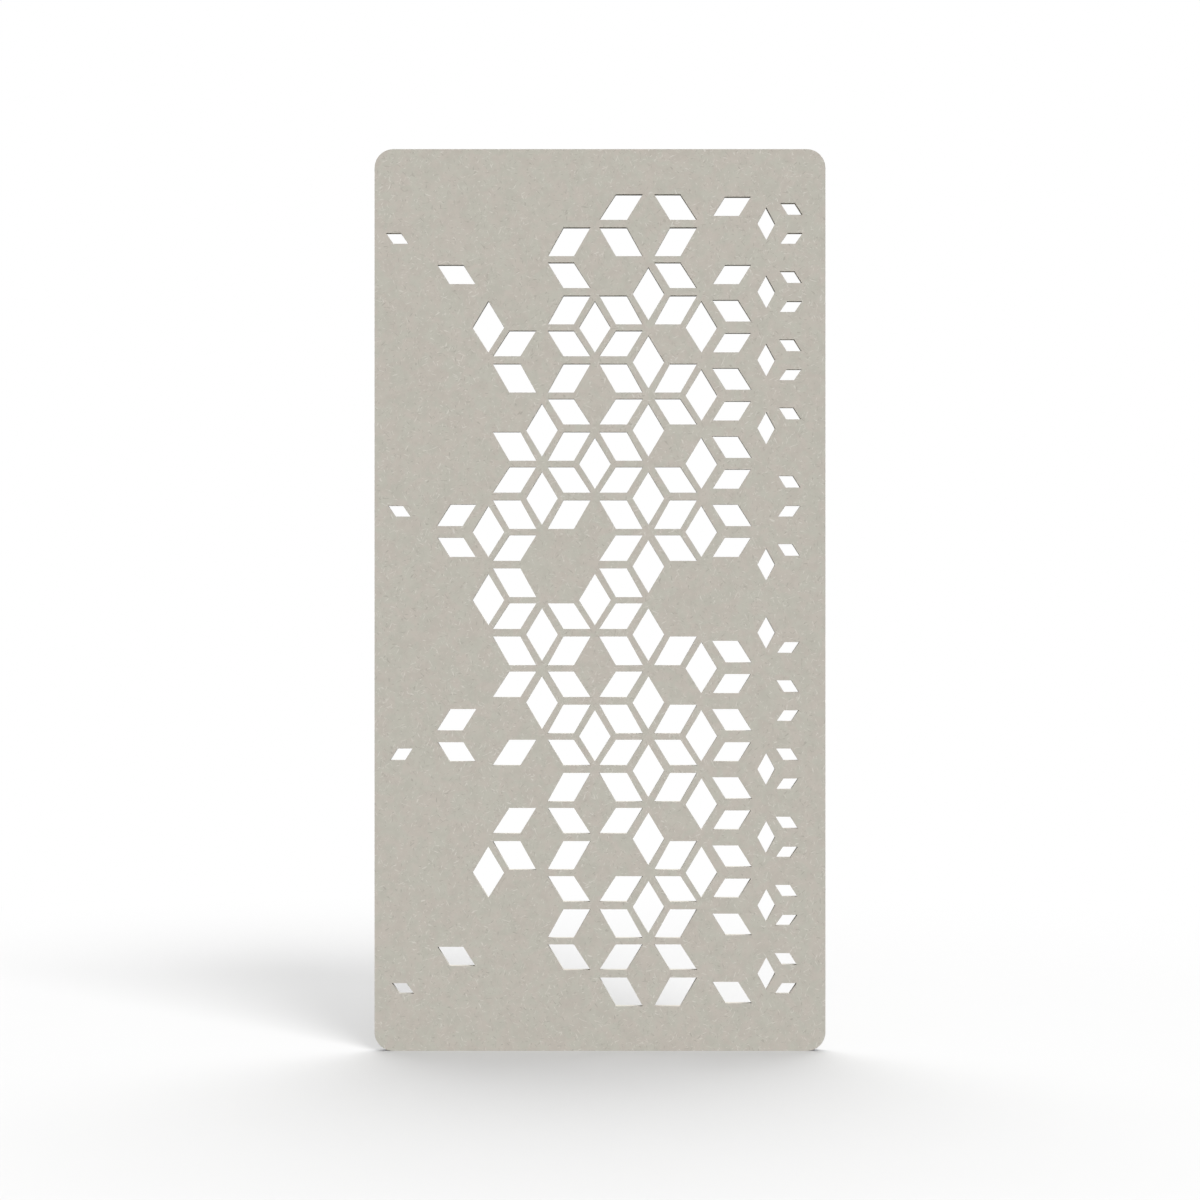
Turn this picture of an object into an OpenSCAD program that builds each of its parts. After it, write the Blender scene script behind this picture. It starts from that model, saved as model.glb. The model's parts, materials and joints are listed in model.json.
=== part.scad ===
// Hanging room divider: a pierced felt panel, laminated from two boards
// that close round a pair of threaded hanging inserts in its top edge.
//
// Millimetres, +Z up. The origin is the middle of the top edge, halfway between
// the hanging inserts and halfway through the thickness. The front faces -Y.

/* [Panel] */
// Width of the panel
panel_w = 1200; // [900:10:1500]
// Height of the panel
panel_h = 2400; // [1200:10:3000]
// Radius of the four corners
corner_r = 50; // [5:1:110]
// Thickness of each felt board
board_t = 11.85; // [10:0.05:15]
// Thickness of the adhesive web between the boards
web_t = 0.3; // [0.2:0.05:0.6]

/* [Star lattice] */
// Distance between neighbouring columns of stars
column_pitch = 141.8; // [135:0.1:150]
// Distance between stars within a column
row_pitch = 181.5; // [170:0.5:190]
// Sideways offset of the middle column from the panel's centre line
lattice_x = -13.6; // [-30:0.1:30]
// Depth of the first star below the top edge
first_level = 198.2; // [150:0.1:240]
// How far the odd columns sit off the midpoint of the even ones, across and down
stagger = [0.8, 4.2]; // [0:0.1:8]
// Least solid border left round the fretwork
border = 25; // [15:1:40]

/* [Webs between cells] */
// Level web at the stars of the even and odd columns
level_web = [20, 16.8]; // [12:0.1:24]
// From an even or odd star column to the slanted cells' corners beside the star
star_gap = [11.6, 15.1]; // [8:0.1:20]
// From a diamond's side corner to the slanted cells beside it, in even and odd columns
corner_web = [13.6, 15.1]; // [8:0.1:20]
// From the star above to a diamond's upper tip, in even and odd columns
upper_tip_gap = [24.5, 21]; // [15:0.1:30]
// From the star below to a diamond's lower tip, in even and odd columns
lower_tip_gap = [20, 19.5]; // [15:0.1:30]

/* [Cells] */
// Width of a full diamond
diamond_w = 84.6; // [70:0.1:95]
// Height of a medium cell as a share of the full one in its row
medium_share = 0.75; // [0.5:0.01:0.9]
// Level edge of a medium cell
medium_edge = 69; // [40:0.5:75]
// Sideways lean of a medium cell for each unit of height
medium_lean = 0.63; // [0.3:0.01:0.8]
// Small diamond, width and height
small_diamond = [47, 86.5]; // [20:0.5:100]
// Level edge of a small cell
small_edge = 39.5; // [20:0.5:60]
// Height of a small cell in the short rows and in the tall rows
small_cell_h = [31.2, 28.6]; // [15:0.1:50]
// Sideways run of a small cell's slanted side
small_run = 19.8; // [5:0.1:30]
// Distance between the two small cells of a chevron
chevron_gap = 78.5; // [60:0.5:100]
// How far medium cells stand outside the middle of their gap, at left and right
medium_shift = [14.3, 9.9]; // [0:0.1:30]
// How far the topmost chevron stands outside the middle of its gap, at left and right
chevron_shift = [30.5, 26.5]; // [0:0.1:40]
// How much further in each chevron stands than the one above it
chevron_drift = 1.4; // [0:0.1:2]
// How far the small diamonds stand outside their star column
small_diamond_shift = 30; // [0:0.1:50]
// How much further medium cells stand from the star level that they share
medium_spread = 2; // [0:0.1:6]

/* [Hanging inserts] */
// Distance between the two inserts
insert_spacing = 800; // [400:10:820]
// Length of an insert
insert_l = 26; // [20:1:40]
// Core diameter of the M6 thread
core_d = 5; // [3.3:0.1:6.8]
// Root diameter of the barbed body
body_d = 9.5; // [8:0.1:12]
// Height of a barb above the body
barb_h = 0.9; // [0.4:0.1:1.5]
// Distance between barbs
barb_pitch = 4.5; // [3:0.1:8]
// Hexagonal collar, across its flats
collar_af = 14; // [13:0.5:18]
// Thickness of the collar
collar_t = 3; // [2:0.5:5]
// Clearance between an insert and its pocket
pocket_gap = 0.1; // [0.05:0.05:0.3]
// Room below the insert for the end of the screw
screw_room = 6; // [2:1:15]

/* [Hidden] */
$fn = 96;
panel_t = 2 * board_t + web_t;
// How far a cut runs past the face that it opens
overcut = 1;
// Flats of the inserts' collars
collar_sides = 6;
felt = [0.745, 0.728, 0.690];
glue = [0.86, 0.85, 0.80];
zinc = [0.72, 0.73, 0.75];

// Star columns and the gaps to their right are counted from the left. This is the
// star column nearest the panel's centre line.
MIDDLE_COLUMN = 4;

// Which full slanted cells are cut, one string for each gap between star columns
// 2 to 6. Rows run down from the top, short and tall in turn.
CELL_COLUMNS = [2, 3, 4, 5];
CELL_ROWS = [
  "....##.########.#.##....",
  ".#########..###########.",
  "##.################.####",
  "####.##.###..#.###.#####",
];

// Which full diamonds are cut in star columns 2 to 6, down from the top
DIAMOND_COLUMNS = [2, 3, 4, 5, 6];
DIAMOND_ROWS = [
  ".#..##...#..",
  "...##.##....",
  ".#.#.#.#....",
  ".##########.",
  ".####.####..",
];

// Towards its sides the fretwork breaks up into smaller cells, in the same rows. The
// lists that follow give the left side first, and this is outward on each side.
OUTWARD = [-1, 1];

// Medium cells stand in the gaps next to the full ones, at left and right
MEDIUM_GAPS = [1, 6];
MEDIUM_ROWS = [
  "..#......##....##.....#.",
  "#.#########..#########.#",
];

// The smallest cells stand in chevrons in the outermost gaps, at left and right
CHEVRON_GAPS = [0, 7];
CHEVRON_ROWS = [
  ".#.......#......#......#",
  "#######.###..###########",
];

// Small diamonds stand beside one star column only, at the right
SMALL_DIAMOND_COLUMN = 7;
SMALL_DIAMOND_ROWS = "####.##.####";

// ---- Lattice ----

// 0 for the even set, 1 for the odd one
function parity(i) = abs(i) % 2;
// Centre line of a column of stars
function star_x(column) =
  lattice_x + (column - MIDDLE_COLUMN) * column_pitch + parity(column) * stagger.x;
// Level of the web above a row of slanted cells: stars of the even columns sit on
// the odd levels, and stars of the odd columns on the even ones
function level_z(i) = -(first_level + (i - 1) * row_pitch / 2 + (1 - parity(i)) * stagger.y);
// Half of the web that runs along a level
function half_web(i) = level_web[1 - parity(i)] / 2;
// Top, bottom, middle and height of a row of slanted cells
function row_top(row) = level_z(row) - half_web(row);
function row_bottom(row) = level_z(row + 1) + half_web(row + 1);
function row_middle(row) = (row_top(row) + row_bottom(row)) / 2;
function row_height(row) = row_top(row) - row_bottom(row);
// A cell leans like a slash (1) or a backslash (-1), in turn along rows and columns
function lean_sign(gap, row) = parity(gap + row) == 0 ? 1 : -1;
// From a star column to the slanted cells' corners beside its diamonds
function joint_gap(column) = diamond_w / 2 + corner_web[parity(column)];
// Star level on which the diamonds of a column are centred
function diamond_level(column, row) = 2 * row + (parity(column) == 0 ? 2 : 1);
// Middle of the gap between a star column and the next
function gap_middle(gap) = (star_x(gap) + star_x(gap + 1)) / 2;
// Smaller cells share the odd star levels in pairs, one above (1) and one below (-1)
function pair_side(row) = parity(row) == 0 ? 1 : -1;
function pair_level(row) = row + 1 - parity(row);
// Distance of a small cell outside the middle of its gap, on side 0 (left) or 1
function chevron_offset(side, row) = chevron_shift[side] - floor(row / 2) * chevron_drift;

// ---- Cells ----

// Cuts a cell only where the border round the fretwork stays whole
module inside_border(points) {
  xs = [for (p = points) p.x];
  zs = [for (p = points) p.y];
  side = panel_w / 2 - border;
  if (min(xs) > -side && max(xs) < side && max(zs) < -border && min(zs) > border - panel_h)
    polygon(points);
}

// Slanted cell that fills its place between two star columns and two levels
module full_cell(gap, row) {
  left = star_x(gap);
  right = star_x(gap + 1);
  near = [star_gap[parity(gap)], star_gap[parity(gap + 1)]];
  far = [joint_gap(gap), joint_gap(gap + 1)];
  top = row_top(row);
  bottom = row_bottom(row);
  inside_border(lean_sign(gap, row) > 0
    ? [[left + far[0], top], [right - near[1], top], [right - far[1], bottom], [left + near[0], bottom]]
    : [[left + near[0], top], [right - far[1], top], [right - near[1], bottom], [left + far[0], bottom]]);
}

// Diamond between two stars of one column
module full_diamond(column, row) {
  i = diamond_level(column, row);
  x = star_x(column);
  upper = level_z(i - 1) - upper_tip_gap[parity(column)];
  lower = level_z(i + 1) + lower_tip_gap[parity(column)];
  // The odd columns' diamonds hang midway between their stars
  middle = parity(column) == 0 ? level_z(i) : (upper + lower) / 2;
  inside_border([[x, upper], [x + diamond_w / 2, middle], [x, lower], [x - diamond_w / 2, middle]]);
}

// Slanted cell of its own size, centred on x and z
module loose_cell(x, z, edge, height, run) {
  inside_border([
    [x + (run - edge) / 2, z + height / 2], [x + (run + edge) / 2, z + height / 2],
    [x + (edge - run) / 2, z - height / 2], [x - (edge + run) / 2, z - height / 2],
  ]);
}

module medium_cell(gap, row, x) {
  height = medium_share * row_height(row);
  z = row_middle(row) + pair_side(row) * medium_spread;
  loose_cell(x, z, medium_edge, height, lean_sign(gap, row) * medium_lean * height);
}

// One of the two cells of a chevron
module small_cell(gap, row, x) {
  z = level_z(pair_level(row)) + pair_side(row) * chevron_gap / 2;
  loose_cell(x, z, small_edge, small_cell_h[parity(row)], lean_sign(gap, row) * small_run);
}

module small_diamond_cell(row, x) {
  z = level_z(diamond_level(SMALL_DIAMOND_COLUMN, row));
  inside_border([
    [x, z + small_diamond.y / 2], [x + small_diamond.x / 2, z],
    [x, z - small_diamond.y / 2], [x - small_diamond.x / 2, z],
  ]);
}

// All the cut-outs, seen from the front
module fretwork() {
  for (i = [0 : len(CELL_COLUMNS) - 1], row = [0 : len(CELL_ROWS[i]) - 1])
    if (CELL_ROWS[i][row] == "#") full_cell(CELL_COLUMNS[i], row);
  for (i = [0 : len(DIAMOND_COLUMNS) - 1], row = [0 : len(DIAMOND_ROWS[i]) - 1])
    if (DIAMOND_ROWS[i][row] == "#") full_diamond(DIAMOND_COLUMNS[i], row);
  for (i = [0, 1], row = [0 : len(MEDIUM_ROWS[i]) - 1])
    if (MEDIUM_ROWS[i][row] == "#")
      medium_cell(MEDIUM_GAPS[i], row, gap_middle(MEDIUM_GAPS[i]) + OUTWARD[i] * medium_shift[i]);
  for (i = [0, 1], row = [0 : len(CHEVRON_ROWS[i]) - 1])
    if (CHEVRON_ROWS[i][row] == "#")
      small_cell(CHEVRON_GAPS[i], row, gap_middle(CHEVRON_GAPS[i]) + OUTWARD[i] * chevron_offset(i, row));
  for (row = [0 : len(SMALL_DIAMOND_ROWS) - 1])
    if (SMALL_DIAMOND_ROWS[row] == "#")
      small_diamond_cell(row, star_x(SMALL_DIAMOND_COLUMN) + small_diamond_shift);
}

// ---- Panel layers ----

// Outline with its top edge on the X axis
module outline() {
  half_w = panel_w / 2;
  translate([-half_w, -panel_h + corner_r]) square([panel_w, panel_h - 2 * corner_r]);
  translate([-half_w + corner_r, -panel_h]) square([panel_w - 2 * corner_r, panel_h]);
  for (x = [-1, 1], z = [-corner_r, corner_r - panel_h])
    translate([x * (half_w - corner_r), z]) circle(r = corner_r);
}

// One layer of the laminate, from y to y + thickness, pierced and pocketed
module layer(y, thickness) {
  difference() {
    translate([0, y + thickness, 0]) rotate([90, 0, 0]) linear_extrude(thickness)
      difference() {
        outline();
        fretwork();
      }
    for (side = [-1, 1]) translate([side * insert_spacing / 2, 0, 0]) insert_pocket();
  }
}

module front_board() color(felt) layer(-panel_t / 2, board_t);
module bond_web() color(glue) layer(-web_t / 2, web_t);
module back_board() color(felt) layer(web_t / 2, board_t);

// ---- Hanging inserts ----

// Half outline of the barbed body below the collar. The barbs' shoulders face up,
// so the felt that closes behind them holds the panel's weight.
module barbed_profile(grow) {
  root = body_d / 2 + grow;
  crest = root + barb_h;
  body_l = insert_l - collar_t;
  barbs = floor(body_l / barb_pitch);
  shoulder = [for (i = [1 : barbs]) -insert_l + i * barb_pitch];
  polygon(concat(
    [[0, -collar_t + grow], [root, -collar_t + grow]],
    [for (i = [barbs - 1 : -1 : 0]) each [
      [root, shoulder[i] - barb_h + grow], [crest, shoulder[i] - barb_h + grow],
      [root, shoulder[i] - barb_pitch + (i == 0 ? -grow : 0)],
    ]],
    [[0, -insert_l - grow]]));
}

// Six-sided collar that seats in the top edge and stops the insert turning. Two of
// its flats face the panel's front and back.
module collar(grow) {
  across_corners = (collar_af + 2 * grow) / cos(180 / collar_sides);
  translate([0, 0, -collar_t])
    cylinder(d = across_corners, h = collar_t + (grow > 0 ? overcut : 0), $fn = collar_sides);
}

module insert_pocket() {
  collar(pocket_gap);
  rotate_extrude() barbed_profile(pocket_gap);
  translate([0, 0, -insert_l - screw_room]) cylinder(d = body_d, h = insert_l + screw_room);
}

module hanging_insert() {
  color(zinc) difference() {
    union() {
      collar(0);
      rotate_extrude() barbed_profile(0);
    }
    translate([0, 0, -insert_l - overcut]) cylinder(d = core_d, h = insert_l + 2 * overcut);
  }
}

module left_hanging_insert() translate([-insert_spacing / 2, 0, 0]) hanging_insert();
module right_hanging_insert() translate([insert_spacing / 2, 0, 0]) hanging_insert();

front_board();
bond_web();
back_board();
left_hanging_insert();
right_hanging_insert();
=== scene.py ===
import json
import math

import bmesh
import bpy
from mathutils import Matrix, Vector


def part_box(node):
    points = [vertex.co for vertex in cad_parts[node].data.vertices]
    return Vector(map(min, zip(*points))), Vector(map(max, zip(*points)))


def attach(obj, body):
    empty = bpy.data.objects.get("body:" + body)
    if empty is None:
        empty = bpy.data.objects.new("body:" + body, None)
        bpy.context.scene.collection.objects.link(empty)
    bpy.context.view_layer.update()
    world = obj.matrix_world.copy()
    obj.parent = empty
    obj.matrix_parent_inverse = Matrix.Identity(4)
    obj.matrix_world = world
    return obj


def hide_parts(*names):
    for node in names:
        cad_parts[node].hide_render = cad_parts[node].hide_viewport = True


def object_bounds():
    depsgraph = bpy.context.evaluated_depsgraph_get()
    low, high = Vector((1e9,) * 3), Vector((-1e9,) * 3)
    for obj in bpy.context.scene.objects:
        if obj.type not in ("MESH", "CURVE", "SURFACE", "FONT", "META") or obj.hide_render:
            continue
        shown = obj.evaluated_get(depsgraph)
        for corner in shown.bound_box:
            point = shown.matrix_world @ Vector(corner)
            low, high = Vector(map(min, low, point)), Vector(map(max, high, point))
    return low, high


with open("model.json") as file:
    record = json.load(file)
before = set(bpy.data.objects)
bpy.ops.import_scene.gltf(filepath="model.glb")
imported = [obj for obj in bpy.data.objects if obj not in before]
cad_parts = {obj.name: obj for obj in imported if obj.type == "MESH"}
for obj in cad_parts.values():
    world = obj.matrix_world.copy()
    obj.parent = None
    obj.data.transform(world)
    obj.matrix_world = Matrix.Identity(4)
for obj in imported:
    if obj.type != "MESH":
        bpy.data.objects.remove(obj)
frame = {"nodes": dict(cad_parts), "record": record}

CAD_LOW, CAD_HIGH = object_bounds()
PANEL_HEIGHT = CAD_HIGH.z - CAD_LOW.z
BODY = "root"
BOARDS = ("front_board", "back_board")
INSERTS = ("left_hanging_insert", "right_hanging_insert")
MOUNTS = {mount["name"]: mount for mount in frame["record"]["mounts"]}
MM_PER_METRE = 1000
# Radius of the inserts' bore, which is the core of their thread
CORE_RADIUS = MOUNTS["hanging_points"]["dims"]["hole_r_mm"] / MM_PER_METRE

# Camera: level and square on. The panel's height in the photograph and a long lens
# give the distance, and with it the depth that shows inside the cut-outs.
PHOTO_SIDE = 1200
PANEL_PIXELS = 901.8
LENS = 80.0
SENSOR = 36.0

# Light. A level is what a matt white face square to the light would send back.
WHITE = 1.0
DOME_LEVEL = 0.37
# Soft distant lamps: name, degrees to the right of the front, degrees up, degrees wide, level
LAMPS = (
    ("key", 30, 42, 25, 0.61),
    ("fill", 10, 20, 35, 0.41),
    ("back", 175, 65, 50, 0.84),
)

# Floor: its size and colour, and how far from the panel it fades to white
FLOOR_SIDE = 80.0
FLOOR_COLOUR = 0.587
FADE_START = 1.6
FADE_END = 4.0
# What the floor sends back up at the object, which the dark ceilings of the cut-outs show
FLOOR_BOUNCE = 0.04
# Faint unevenness of the floor's colour: its scale per metre, its detail, and its strength
GRAIN_SCALE = 3.0
GRAIN_DETAIL = 2.0
GRAIN_SHOW = 0.004

# How far the cut edges of the felt and the machined edges of the inserts are eased, in how
# many steps, and how full their round is
FELT_EASE = 0.0005
ZINC_EASE = 0.00015
EASE_STEPS = 2
EASE_PROFILE = 0.5
# On the CAD's mesh, nearer points are one, flatter edges go, and sharper edges are eased
WELD_DISTANCE = 1e-6
FLAT_ANGLE = math.radians(0.1)
SHARP_ANGLE = math.radians(30)

# The M6 thread in each insert: outer diameter, pitch, lean of the flanks, and width of the
# flat root in the ISO profile
THREAD_MAJOR = 0.006
THREAD_PITCH = 0.001
THREAD_FLANK = math.radians(30)
THREAD_ROOT = THREAD_PITCH / 8
# The tap that cuts it: points to a turn, room to the wall of the bore, and turns past each end
THREAD_STEPS = 48
TAP_CLEARANCE = 0.00005
TAP_TURNS_BEYOND = 2
# Depth of the 45 degree countersink that the thread starts from
MOUTH_DEPTH = 0.0007


# ---- Node helpers ----


def linear(colour):
    """A colour as it is seen, turned into the linear values that shaders use."""
    low, slope, shift, power = 0.04045, 12.92, 0.055, 2.4
    parts = [c / slope if c <= low else ((c + shift) / (1 + shift)) ** power for c in colour]
    return (*parts, 1.0)


def grey(level):
    """A grey of that linear value."""
    return (level, level, level, 1.0)


def find_socket(sockets, identifier):
    """The socket with that identifier, on a node whose sockets share their names."""
    return next(socket for socket in sockets if socket.identifier == identifier)


class Tree:
    """Short calls for building one node tree."""

    def __init__(self, tree):
        self.nodes = tree.nodes
        self.links = tree.links
        self.nodes.clear()

    def add(self, kind, **settings):
        node = self.nodes.new(kind)
        for name, value in settings.items():
            setattr(node, name, value)
        return node

    def join(self, output, socket):
        self.links.new(output, socket)

    def set(self, socket, value):
        if isinstance(value, bpy.types.NodeSocket):
            self.join(value, socket)
        else:
            socket.default_value = value

    def show(self, shader, output="ShaderNodeOutputMaterial"):
        """Joins the shader to the tree's output."""
        self.join(shader, self.add(output).inputs["Surface"])

    def math(self, operation, a, b=0.0):
        node = self.add("ShaderNodeMath", operation=operation)
        for socket, value in zip(node.inputs, (a, b)):
            self.set(socket, value)
        return node.outputs["Value"]

    def plus(self, base, pattern, share):
        """The base with a share of the pattern added to it."""
        return self.math("ADD", base, self.math("MULTIPLY", pattern, share))

    def mix(self, factor, a, b):
        """Colour a where the factor is 0, and b where it is 1."""
        node = self.add("ShaderNodeMix", data_type="RGBA")
        self.set(node.inputs["Factor"], factor)
        self.set(find_socket(node.inputs, "A_Color"), a)
        self.set(find_socket(node.inputs, "B_Color"), b)
        return find_socket(node.outputs, "Result_Color")

    def tinge(self, colour, pattern, share, other):
        """The colour, turned by that share towards the other one where the pattern is 1."""
        return self.mix(self.math("MULTIPLY", pattern, share), colour, linear(other))

    def mix_shaders(self, factor, first, second):
        """The first shader where the factor is 0, and the second where it is 1."""
        node = self.add("ShaderNodeMixShader")
        self.join(factor, node.inputs["Fac"])
        self.join(first, find_socket(node.inputs, "Shader"))
        self.join(second, find_socket(node.inputs, "Shader_001"))
        return node.outputs["Shader"]

    def place(self):
        """The object's own coordinates, in metres."""
        return self.add("ShaderNodeTexCoord").outputs["Object"]

    def sized(self, place, size, turn=0.0, away=0.0):
        """Coordinates in which one unit is as long as size, turned about the panel's depth."""
        node = self.add("ShaderNodeMapping", vector_type="TEXTURE")
        self.join(place, node.inputs["Vector"])
        node.inputs["Location"].default_value = (away, away, away)
        node.inputs["Rotation"].default_value = (0, turn, 0)
        node.inputs["Scale"].default_value = size
        return node.outputs["Vector"]

    def noise(self, place, detail, distortion=0.0, scale=1.0):
        node = self.add("ShaderNodeTexNoise")
        self.join(place, node.inputs["Vector"])
        node.inputs["Scale"].default_value = scale
        node.inputs["Detail"].default_value = detail
        node.inputs["Distortion"].default_value = distortion
        return node.outputs["Fac"]

    def ramp(self, value, low, high):
        """0 below low and 1 above high, smooth between."""
        node = self.add("ShaderNodeMapRange", interpolation_type="SMOOTHSTEP")
        self.join(value, node.inputs["Value"])
        node.inputs["From Min"].default_value = low
        node.inputs["From Max"].default_value = high
        return node.outputs["Result"]

    def seen_ray(self):
        """1 for rays from the camera, mirrors and glass, and 0 for those that carry light."""
        path = self.add("ShaderNodeLightPath")
        seen = self.math("MAXIMUM", path.outputs["Is Camera Ray"], path.outputs["Is Glossy Ray"])
        return self.math("MAXIMUM", seen, path.outputs["Is Transmission Ray"])


def material(name):
    made = bpy.data.materials.new(name)
    made.use_nodes = True
    return made, Tree(made.node_tree)


def surface(tree, colour, roughness, height, strength, distance, metallic=0.0):
    """A Principled surface with bump, joined to the output."""
    shader = tree.add("ShaderNodeBsdfPrincipled")
    tree.set(shader.inputs["Base Color"], colour)
    tree.set(shader.inputs["Roughness"], roughness)
    shader.inputs["Metallic"].default_value = metallic
    bump = tree.add("ShaderNodeBump")
    bump.inputs["Strength"].default_value = strength
    bump.inputs["Distance"].default_value = distance
    tree.join(height, bump.inputs["Height"])
    tree.join(bump.outputs["Normal"], shader.inputs["Normal"])
    tree.show(shader.outputs["BSDF"])
    return shader


# ---- Materials ----

# Throughout, a NOISE is a detail and a distortion, a RANGE is where a pattern starts to show
# and where it shows in full, and a SHOW is how much of it shows.

# Felt colours, fitted to the photograph: its two tints, and its dark and pale fibres
FELT_WARM = (0.755, 0.729, 0.692)
FELT_COOL = (0.743, 0.734, 0.692)
FELT_DARK = (0.660, 0.642, 0.604)
FELT_PALE = (0.826, 0.812, 0.780)
# Patches of tint, and soft clumps
TINT_SIZE = 0.035
TINT_NOISE = (4.0, 0.6)
TINT_RANGE = (0.35, 0.65)
CLUMP_SIZE = 0.022
CLUMP_NOISE = (3.0, 0.4)
CLUMP_RANGE = (0.35, 0.70)
CLUMP_SHOW = 0.22
# Strands: flecks of fibre, some pale and some dark, and fine pale hairs
STRAND_DETAIL = 1.0
FLECK_LONG = 0.018
FLECK_THIN = 0.0036
FLECK_RANGE = (0.69, 0.77)
FLECK_BEND = 0.3
HAIR_LONG = 0.008
HAIR_THIN = 0.0004
HAIR_RANGE = (0.60, 0.72)
HAIR_BEND = 2.0
# Turns of the strands about the panel's depth, in radians
PALE_TURNS = (0.35, 1.15, 1.95, 2.75)
DARK_TURNS = (0.0, 0.8, 1.6, 2.4)
HAIR_TURNS = (0.25, 0.95, 1.5, 2.2, 2.9)
PALE_SHOW = 0.80
DARK_SHOW = 0.85
HAIR_SHOW = 0.04
# How far off in the noise the dark flecks are taken, so that they don't follow the pale ones
DARK_AWAY = 7.0
# The pressed layers that a cut edge shows, as fine lines along the board
LAYER_LONG = 0.012
LAYER_THIN = 0.0004
LAYER_DETAIL = 2.0
LAYER_SHOW = 0.25
# How squarely the felt faces front or back where its cut edge ends and its face begins
FACE_RANGE = (0.3, 0.8)
# The relief of the felt, and its shine
PALE_HEIGHT = 0.5
HAIR_HEIGHT = 0.3
LAYER_HEIGHT = 0.4
FELT_BUMP = 0.0002
FELT_BUMP_STRENGTH = 0.5
FELT_ROUGHNESS = 0.88
CLUMP_ROUGHNESS = 0.1
FELT_SHEEN = 0.15
SHEEN_ROUGHNESS = 0.6
FELT_SPECULAR = 0.2


def strands(t, place, long, thin, turns, limits, bend, away=0.0):
    """1 on short bent strands that lie at the given turns, and 0 between them."""
    found = None
    for turn in turns:
        lying = t.sized(place, (long, thin, thin), turn, away)
        strand = t.ramp(t.noise(lying, STRAND_DETAIL, bend), *limits)
        found = strand if found is None else t.math("MAXIMUM", found, strand)
    return found


def on_cut_edges(t):
    """1 on the cut edges of the felt, and 0 on its two faces."""
    split = t.add("ShaderNodeSeparateXYZ")
    t.join(t.add("ShaderNodeNewGeometry").outputs["Normal"], split.inputs["Vector"])
    facing = t.math("ABSOLUTE", split.outputs["Y"])
    return t.math("SUBTRACT", 1.0, t.ramp(facing, *FACE_RANGE))


def felt_material():
    made, t = material("felt")
    place = t.place()

    tint = t.ramp(t.noise(t.sized(place, (TINT_SIZE,) * 3), *TINT_NOISE), *TINT_RANGE)
    clumps = t.noise(t.sized(place, (CLUMP_SIZE,) * 3), *CLUMP_NOISE)
    dark = strands(t, place, FLECK_LONG, FLECK_THIN, DARK_TURNS, FLECK_RANGE, FLECK_BEND, DARK_AWAY)
    pale = strands(t, place, FLECK_LONG, FLECK_THIN, PALE_TURNS, FLECK_RANGE, FLECK_BEND)
    hairs = strands(t, place, HAIR_LONG, HAIR_THIN, HAIR_TURNS, HAIR_RANGE, HAIR_BEND)
    layers = t.noise(t.sized(place, (LAYER_LONG, LAYER_THIN, LAYER_LONG)), LAYER_DETAIL)
    lines = t.math("MULTIPLY", on_cut_edges(t), layers)

    colour = t.mix(tint, linear(FELT_COOL), linear(FELT_WARM))
    colour = t.tinge(colour, t.ramp(clumps, *CLUMP_RANGE), CLUMP_SHOW, FELT_DARK)
    colour = t.tinge(colour, dark, DARK_SHOW, FELT_DARK)
    colour = t.tinge(colour, pale, PALE_SHOW, FELT_PALE)
    colour = t.tinge(colour, hairs, HAIR_SHOW, FELT_PALE)
    colour = t.tinge(colour, lines, LAYER_SHOW, FELT_DARK)

    height = t.plus(t.math("MULTIPLY", pale, PALE_HEIGHT), hairs, HAIR_HEIGHT)
    height = t.plus(height, lines, LAYER_HEIGHT)
    roughness = t.plus(FELT_ROUGHNESS, clumps, CLUMP_ROUGHNESS)
    shader = surface(t, colour, roughness, height, FELT_BUMP_STRENGTH, FELT_BUMP)
    shader.inputs["Sheen Weight"].default_value = FELT_SHEEN
    shader.inputs["Sheen Roughness"].default_value = SHEEN_ROUGHNESS
    shader.inputs["Specular IOR Level"].default_value = FELT_SPECULAR
    return made


# The adhesive web, which the photograph doesn't show: pale strands, scaled per metre
WEB_PALE = (0.86, 0.85, 0.80)
WEB_DARK = (0.80, 0.78, 0.72)
WEB_SCALE = 420.0
WEB_NOISE = (3.0, 1.2)
WEB_RANGE = (0.4, 0.6)
WEB_ROUGHNESS = 0.45
WEB_STRAND_ROUGHNESS = 0.2
WEB_BUMP = 0.0001
WEB_BUMP_STRENGTH = 0.3


def web_material():
    made, t = material("adhesive_web")
    pattern = t.ramp(t.noise(t.place(), *WEB_NOISE, WEB_SCALE), *WEB_RANGE)
    colour = t.mix(pattern, linear(WEB_DARK), linear(WEB_PALE))
    roughness = t.plus(WEB_ROUGHNESS, pattern, WEB_STRAND_ROUGHNESS)
    surface(t, colour, roughness, pattern, WEB_BUMP_STRENGTH, WEB_BUMP)
    return made


# Zinc, which the photograph doesn't show: patches of dull bloom, and fine drawing marks
# along the inserts
ZINC_PALE = (0.66, 0.67, 0.69)
ZINC_DARK = (0.50, 0.51, 0.54)
BLOOM_SIZE = 0.004
BLOOM_NOISE = (4.0, 0.5)
BLOOM_RANGE = (0.35, 0.70)
MARK_THIN = 0.0003
MARK_LONG = 0.003
MARK_DETAIL = 2.0
ZINC_ROUGHNESS = 0.36
BLOOM_ROUGHNESS = 0.22
ZINC_BUMP = 0.00005
ZINC_BUMP_STRENGTH = 0.4


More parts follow.
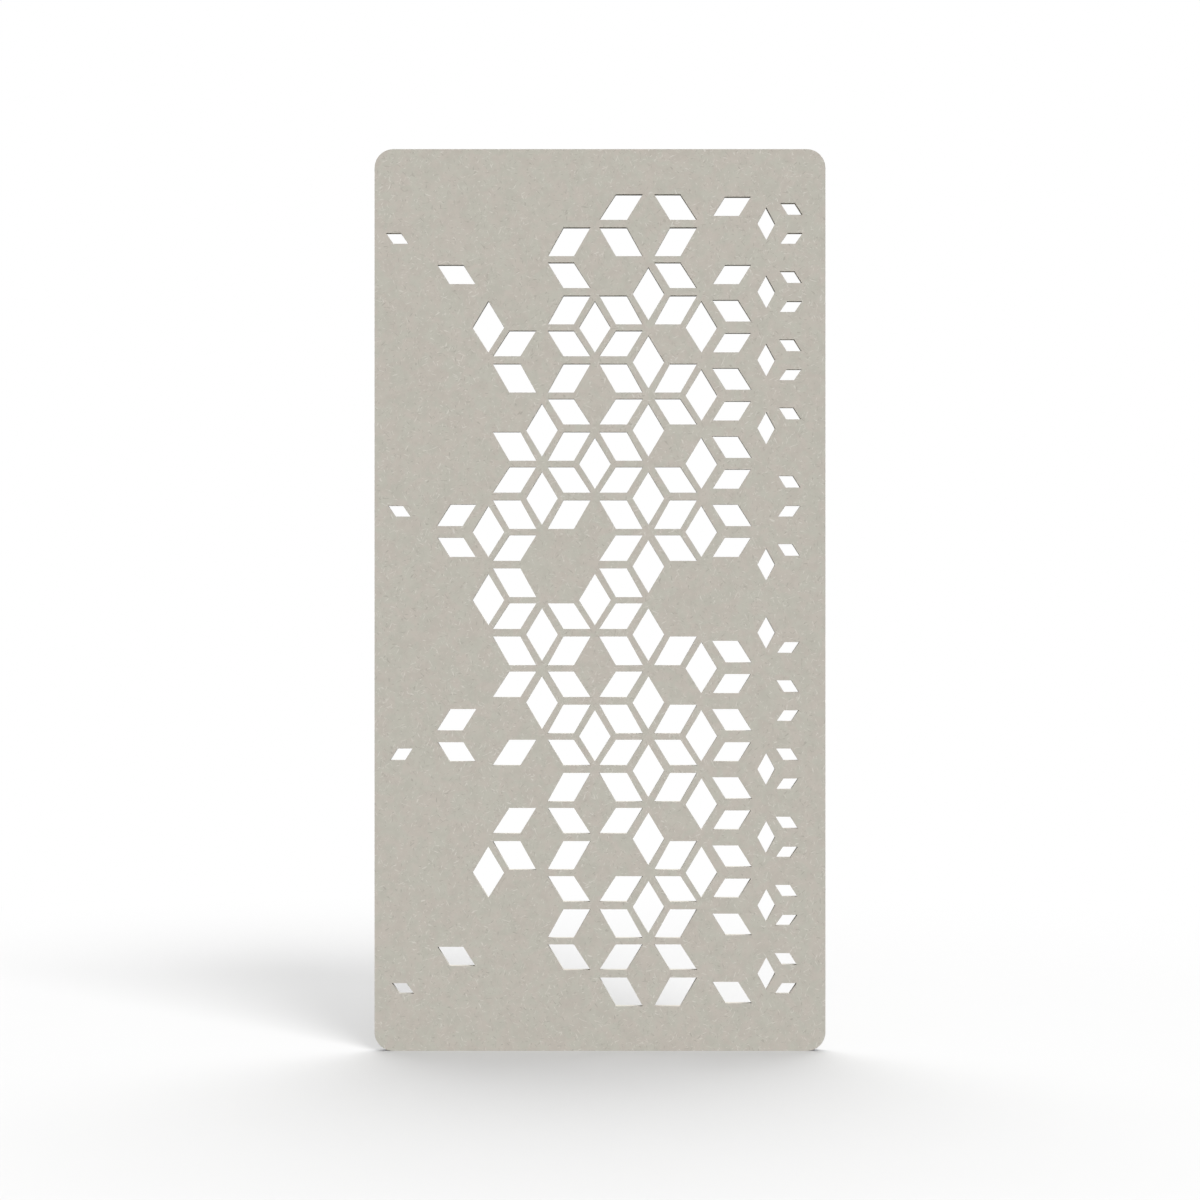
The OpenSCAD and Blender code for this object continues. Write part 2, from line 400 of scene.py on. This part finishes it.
def zinc_material():
    made, t = material("zinc_plate")
    place = t.place()
    bloom = t.ramp(t.noise(t.sized(place, (BLOOM_SIZE,) * 3), *BLOOM_NOISE), *BLOOM_RANGE)
    marks = t.noise(t.sized(place, (MARK_THIN, MARK_THIN, MARK_LONG)), MARK_DETAIL)
    colour = t.mix(bloom, linear(ZINC_PALE), linear(ZINC_DARK))
    roughness = t.plus(ZINC_ROUGHNESS, bloom, BLOOM_ROUGHNESS)
    surface(t, colour, roughness, marks, ZINC_BUMP_STRENGTH, ZINC_BUMP, metallic=1.0)
    return made


def floor_material():
    """Pale matt floor that keeps the panel's shadow and fades to white further off."""
    made, t = material("floor")
    place = t.place()
    reach = t.add("ShaderNodeVectorMath", operation="LENGTH")
    t.join(place, reach.inputs["Vector"])
    fade = t.ramp(reach.outputs["Value"], FADE_START, FADE_END)
    grain = t.noise(place, GRAIN_DETAIL, scale=GRAIN_SCALE)
    pale = t.add("ShaderNodeBsdfDiffuse")
    t.join(t.plus(FLOOR_COLOUR - GRAIN_SHOW / 2, grain, GRAIN_SHOW), pale.inputs["Color"])
    white = t.add("ShaderNodeEmission")
    white.inputs["Strength"].default_value = WHITE
    dim = t.add("ShaderNodeBsdfDiffuse")
    dim.inputs["Color"].default_value = grey(FLOOR_BOUNCE)
    seen = t.mix_shaders(fade, pale.outputs["BSDF"], white.outputs["Emission"])
    t.show(t.mix_shaders(t.seen_ray(), dim.outputs["BSDF"], seen))
    return made


# ---- The object ----


def add_object(name, data):
    """A new object in the scene, with the given mesh, lamp or camera."""
    obj = bpy.data.objects.new(name, data)
    bpy.context.scene.collection.objects.link(obj)
    return obj


def add_solid(name, shape):
    """A new object that holds the finished bmesh."""
    mesh = bpy.data.meshes.new(name)
    shape.to_mesh(mesh)
    shape.free()
    return add_object(name, mesh)


def finish_with(obj, made):
    obj.data.materials.clear()
    obj.data.materials.append(made)


def stand_in(piece, node, made):
    """Shows the piece in place of the CAD node, with its finish."""
    finish_with(piece, made)
    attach(piece, BODY)
    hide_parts(node)


def eased_copy(name, node, ease):
    """The CAD node's own solid with its sharp edges eased, as a new object."""
    shape = bmesh.new()
    shape.from_mesh(frame["nodes"][node].data)
    bmesh.ops.remove_doubles(shape, verts=shape.verts, dist=WELD_DISTANCE)
    bmesh.ops.dissolve_limit(shape, angle_limit=FLAT_ANGLE, verts=shape.verts, edges=shape.edges)
    sharp = [e for e in shape.edges if len(e.link_faces) == 2 and e.calc_face_angle() > SHARP_ANGLE]
    bmesh.ops.bevel(shape, geom=sharp, offset=ease, segments=EASE_STEPS, profile=EASE_PROFILE,
                    affect="EDGES", clamp_overlap=True)
    bmesh.ops.triangulate(shape, faces=shape.faces)
    return add_solid(name, shape)


def thread_profile(core):
    """One pitch of the tap: height, and radius, which in the bore stays clear of its wall."""
    major = THREAD_MAJOR / 2
    flank = (major - core) * math.tan(THREAD_FLANK)
    return (
        (0.0, core - TAP_CLEARANCE),
        (THREAD_PITCH - THREAD_ROOT - 2 * flank, core - TAP_CLEARANCE),
        (THREAD_PITCH - THREAD_ROOT - flank, major),
        (THREAD_PITCH - flank, major),
    )


def make_tap(core, bottom, top):
    """Closed solid of the tap that cuts an insert's thread and countersink, about Z."""
    profile = thread_profile(core)
    beyond = TAP_TURNS_BEYOND * THREAD_PITCH
    steps = round((top - bottom + 2 * beyond) / THREAD_PITCH) * THREAD_STEPS
    shape = bmesh.new()
    rings = []
    for step in range(steps + 1):
        angle = 2 * math.pi * step / THREAD_STEPS
        ring = []
        for rise, radius in profile:
            height = bottom - beyond + THREAD_PITCH * step / THREAD_STEPS + rise
            # In the countersink the radius grows as fast as the height
            radius = max(radius, core + height - (top - MOUTH_DEPTH))
            ring.append(shape.verts.new((radius * math.cos(angle), radius * math.sin(angle), height)))
        rings.append(ring)
    # Each ring of points runs on into the first point of the ring one turn above it
    above = [ring[:1] for ring in rings[THREAD_STEPS:]] + [[]] * THREAD_STEPS
    columns = [ring + first for ring, first in zip(rings, above)]
    for near, far in zip(columns, columns[1:]):
        for k in range(min(len(near), len(far)) - 1):
            shape.faces.new((near[k], far[k], far[k + 1], near[k + 1]))
    bmesh.ops.holes_fill(shape, edges=[e for e in shape.edges if e.is_boundary])
    bmesh.ops.triangulate(shape, faces=shape.faces)
    bmesh.ops.recalc_face_normals(shape, faces=shape.faces)
    return add_solid("tap", shape)


def threaded_insert(node, made):
    """The insert's own solid with its bore tapped, in place of the CAD node."""
    insert = eased_copy("threaded_" + node, node, ZINC_EASE)
    low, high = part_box(node)
    tap = make_tap(CORE_RADIUS, low.z, high.z)
    tap.location = ((low.x + high.x) / 2, (low.y + high.y) / 2, 0)
    cut = insert.modifiers.new("thread", "BOOLEAN")
    cut.operation = "DIFFERENCE"
    cut.solver = "EXACT"
    cut.object = tap
    tapped = insert.evaluated_get(bpy.context.evaluated_depsgraph_get())
    mesh = bpy.data.meshes.new_from_object(tapped)
    insert.modifiers.clear()
    insert.data = mesh
    bpy.data.objects.remove(tap)
    stand_in(insert, node, made)


# ---- The stage ----


def make_camera():
    data = bpy.data.cameras.new("camera")
    data.sensor_width = SENSOR
    data.lens = LENS
    data.clip_end = 2 * FLOOR_SIDE
    camera = add_object("camera", data)
    distance = LENS / SENSOR * PANEL_HEIGHT * PHOTO_SIDE / PANEL_PIXELS
    middle = (CAD_LOW + CAD_HIGH) / 2
    camera.location = (middle.x, CAD_LOW.y - distance, middle.z)
    # An unturned camera looks straight down, so a quarter turn makes it level
    camera.rotation_euler = (math.pi / 2, 0, 0)
    bpy.context.scene.camera = camera


def make_floor():
    half = FLOOR_SIDE / 2
    mesh = bpy.data.meshes.new("floor")
    mesh.from_pydata([(-half, -half, 0), (half, -half, 0), (half, half, 0), (-half, half, 0)],
                     [], [(0, 1, 2, 3)])
    floor = add_object("floor", mesh)
    floor.location.z = CAD_LOW.z
    finish_with(floor, floor_material())


def make_world():
    """White where it is seen, and an even dome where it gives light."""
    world = bpy.data.worlds.new("studio")
    world.use_nodes = True
    bpy.context.scene.world = world
    t = Tree(world.node_tree)
    back = t.add("ShaderNodeBackground")
    back.inputs["Color"].default_value = grey(WHITE)
    t.join(t.plus(DOME_LEVEL, t.seen_ray(), WHITE - DOME_LEVEL), back.inputs["Strength"])
    t.show(back.outputs["Background"], "ShaderNodeOutputWorld")


def make_lamps():
    for name, azimuth, elevation, spread, level in LAMPS:
        across, up = math.radians(azimuth), math.radians(elevation)
        towards = Vector((math.sin(across) * math.cos(up), -math.cos(across) * math.cos(up),
                          math.sin(up)))
        data = bpy.data.lights.new(name, "SUN")
        data.energy = math.pi * level
        data.angle = math.radians(spread)
        lamp = add_object(name, data)
        lamp.rotation_euler = towards.to_track_quat("Z", "Y").to_euler()


make_camera()
felt = felt_material()
for name in BOARDS:
    stand_in(eased_copy("felt_" + name, name, FELT_EASE), name, felt)
finish_with(frame["nodes"]["bond_web"], web_material())
zinc = zinc_material()
for name in INSERTS:
    threaded_insert(name, zinc)
make_floor()
make_world()
make_lamps()
bpy.context.scene.view_settings.view_transform = "Standard"
